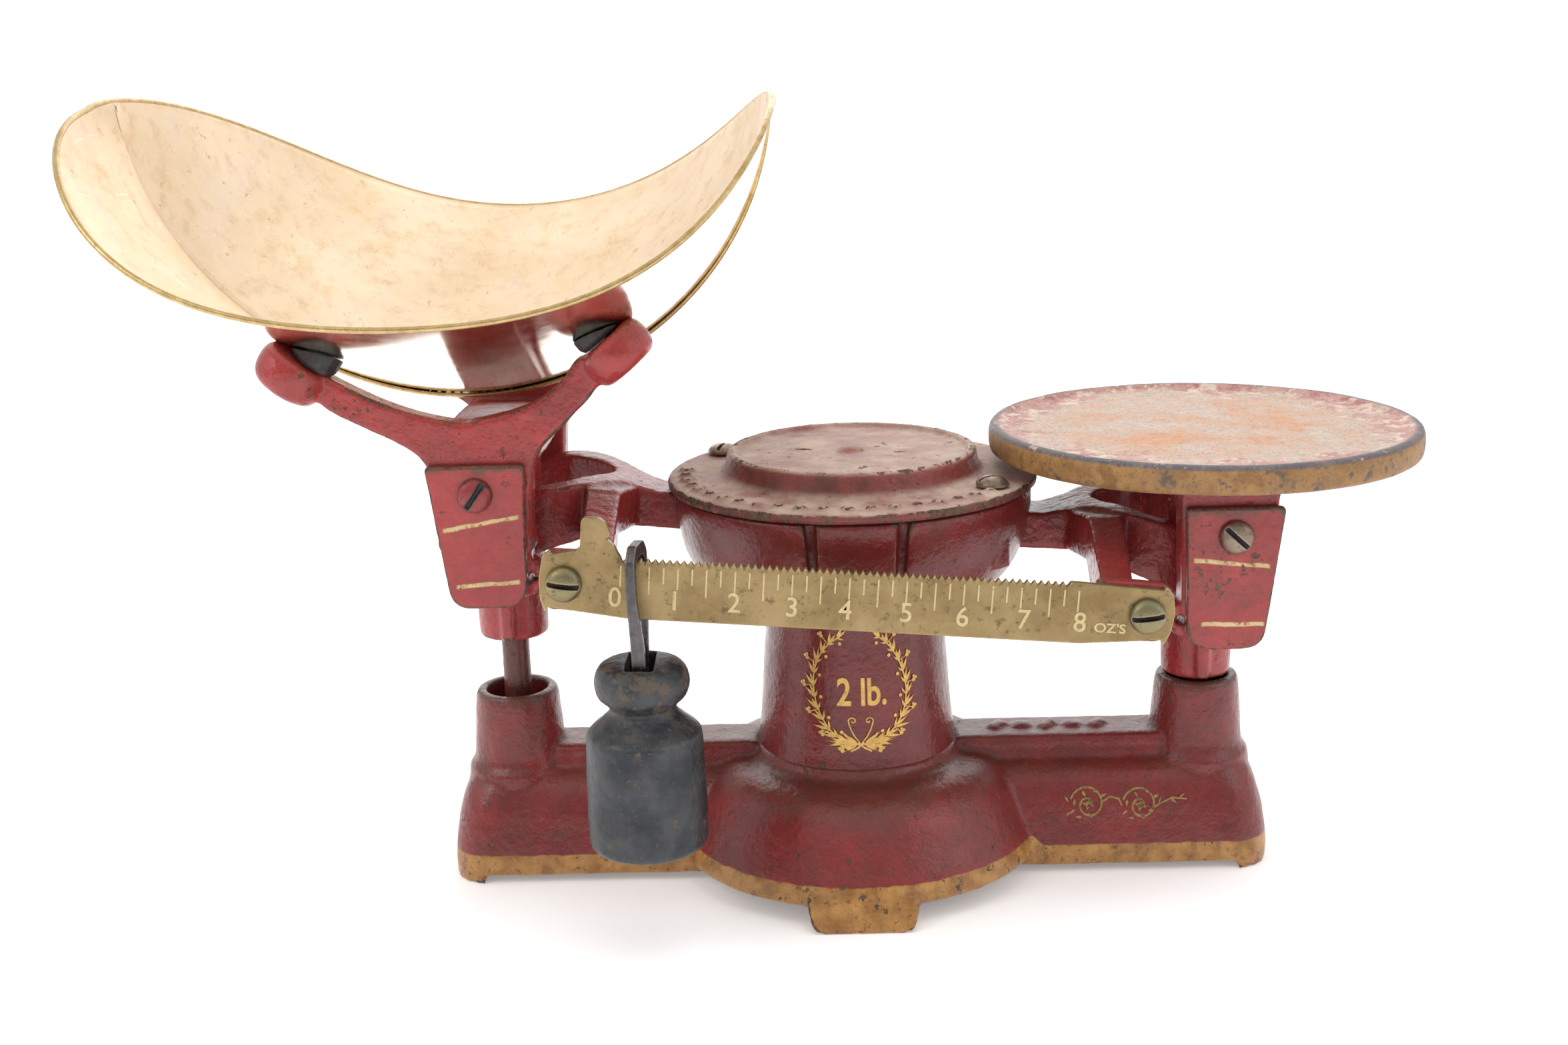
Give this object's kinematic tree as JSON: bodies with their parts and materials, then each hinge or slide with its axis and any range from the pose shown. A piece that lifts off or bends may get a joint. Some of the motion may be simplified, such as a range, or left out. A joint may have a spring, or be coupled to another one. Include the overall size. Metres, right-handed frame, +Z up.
{
  "type": "bench scale",
  "caption": "Equal-arm counter scale: tilting beam on knife edges, sliding poise on a notched bar, spider-held brass scoop, round weight plate, hollow cast base.",
  "frame": {"origin": "centre of the bounding box in plan, on the surface the feet stand on", "axes": "+Z up, +X from the scoop towards the weight plate along the beam, +Y away from the side with the graduated bar"},
  "size_m": [0.3422, 0.1828, 0.2144],
  "materials": {
    "body_red": "worn gloss dark red enamel on cast iron, gold stripes",
    "hanger_red": "worn gloss red enamel on cast iron",
    "cover_paint": "faded dusty red paint with bare brown edges",
    "plate_paint": "flaked paint over bare rusted iron",
    "bar_brass": "dull aged brass, engraved scale",
    "scoop_brass": "polished outside, satin scratched inside",
    "screw_steel": "browned steel",
    "knife_steel": "hardened ground steel",
    "black_iron": "blue-black iron with brown rust",
    "rubber": "black rubber",
    "lead": "dull grey lead, packed as iron"
  },
  "bodies": {
    "base": {"base_casting": "body_red", "column_casting": "body_red", "top_cover": "cover_paint", "cover_screw_front": "screw_steel", "cover_screw_back": "screw_steel", "column_screw_front": "screw_steel", "column_screw_back": "screw_steel", "main_bearing_front": "knife_steel", "main_bearing_back": "knife_steel", "check_pivot_pin": "knife_steel"},
    "beam": {"beam_casting": "body_red", "main_knife_edge": "knife_steel", "left_knife_edge_front": "knife_steel", "left_knife_edge_back": "knife_steel", "right_knife_edge_front": "knife_steel", "right_knife_edge_back": "knife_steel", "graduated_bar": "bar_brass", "bar_screw_left": "screw_steel", "bar_screw_right": "screw_steel"},
    "left_hanger": {"left_hanger_casting": "hanger_red", "left_bearing_cover_front": "hanger_red", "left_bearing_cover_back": "hanger_red", "left_cover_screw_front": "hanger_red", "left_cover_screw_back": "hanger_red", "left_bearing_front": "knife_steel", "left_bearing_back": "knife_steel", "bumper_front_left": "rubber", "bumper_front_right": "rubber", "bumper_back_left": "rubber", "bumper_back_right": "rubber", "left_stay_rod": "screw_steel", "left_stay_pin": "knife_steel"},
    "right_hanger": {"right_hanger_casting": "hanger_red", "right_bearing_cover_front": "hanger_red", "right_bearing_cover_back": "hanger_red", "right_cover_screw_front": "screw_steel", "right_cover_screw_back": "screw_steel", "right_bearing_front": "knife_steel", "right_bearing_back": "knife_steel", "weight_plate": "plate_paint", "plate_stud": "screw_steel", "right_stay_rod": "screw_steel", "right_stay_pin": "knife_steel"},
    "check_lever": {"check_lever": "black_iron"},
    "bail": {"poise_bail": "black_iron"},
    "poise": {"poise_weight": "black_iron", "poise_plug": "lead"},
    "scoop": {"scoop_body": "scoop_brass", "scoop_end": "scoop_brass"}
  },
  "joints": [
    {"name": "beam_tilt", "type": "hinge", "parent": "base", "child": "beam", "pos_m": [0.0187, -0.00812, 0.103], "axis": [0, -1, 0], "range_deg": [0, 9.3]},
    {"name": "left_level", "type": "hinge", "parent": "beam", "child": "left_hanger", "pos_m": [-0.07624, -0.00812, 0.11072], "axis": [0, -1, 0], "range_deg": [-9.4, 0]},
    {"name": "right_level", "type": "hinge", "parent": "beam", "child": "right_hanger", "pos_m": [0.11364, -0.00812, 0.09528], "axis": [0, -1, 0], "range_deg": [-9.4, 0]},
    {"name": "check_tilt", "type": "hinge", "parent": "base", "child": "check_lever", "pos_m": [0.0187, -0.00812, 0.014], "axis": [0, -1, 0], "range_deg": [0, 9.4]},
    {"name": "poise_slide", "type": "slide", "parent": "beam", "child": "bail", "axis": [0.9967, 0, -0.0811], "range_m": [-0.0018, 0.1075]},
    {"name": "poise_swing", "type": "hinge", "parent": "bail", "child": "poise", "pos_m": [-0.03534, -0.06812, 0.06678], "axis": [0, -1, 0], "range_deg": [-4.5, 4.5]},
    {"name": "scoop_lift", "type": "slide", "parent": "left_hanger", "child": "scoop", "axis": [0, 0, 1], "range_m": [0, 0.15]}
  ],
  "couplings": [
    {"joint": "left_level", "follows": "beam_tilt", "ratio": -1},
    {"joint": "right_level", "follows": "beam_tilt", "ratio": -1},
    {"joint": "check_tilt", "follows": "beam_tilt", "ratio": 1}
  ]
}
